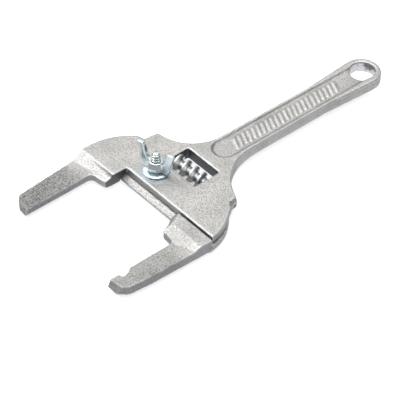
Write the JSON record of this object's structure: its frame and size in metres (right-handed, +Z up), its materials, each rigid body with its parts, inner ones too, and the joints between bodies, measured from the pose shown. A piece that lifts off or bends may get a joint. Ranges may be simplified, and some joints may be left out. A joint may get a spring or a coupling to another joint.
{
  "type": "adjustable wrench",
  "caption": "Cast slip-nut wrench with a fixed hooked jaw, a sliding hooked jaw on a rack bar, a worm to move it and a wing nut to lock it.",
  "frame": {"origin": "on the hang hole axis, half way through the handle's thickness", "axes": "+X from the hang hole to the jaw tips, +Y from the fixed jaw to the sliding jaw, +Z up out of the face that carries the wing nut"},
  "size_m": [0.2895, 0.1312, 0.0341],
  "materials": {
    "cast_body": "zinc plated as-cast grain",
    "cast_jaw": "zinc plated as-cast grain",
    "worm": "zinc plated",
    "pin": "plain steel",
    "bolt": "bright zinc plated",
    "washer": "bright zinc plated",
    "wing_nut": "bright zinc plated"
  },
  "bodies": {
    "frame": {"body": "cast_body", "worm_pin": "pin", "lock_bolt": "bolt", "flat_washer": "washer"},
    "jaw": {"sliding_jaw": "cast_jaw"},
    "worm": {"worm": "worm"},
    "wing_nut": {"wing_nut": "wing_nut"}
  },
  "joints": [
    {"name": "jaw_slide", "type": "slide", "parent": "frame", "child": "jaw", "axis": [0, 1, 0], "range_m": [-0.044, 0.004]},
    {"name": "worm_spin", "type": "hinge", "parent": "frame", "child": "worm", "pos_m": [0.1624, 0, -0.0013], "axis": [0, 1, 0], "range_deg": [-180, 1940]},
    {"name": "wing_nut_turn", "type": "hinge", "parent": "frame", "child": "wing_nut", "pos_m": [0.1839, -0.0127, 0.015], "axis": [0, 0, 1], "range_deg": [0, 360]}
  ],
  "couplings": [
    {"joint": "worm_spin", "follows": "jaw_slide", "rad_per_m": -766.24}
  ]
}
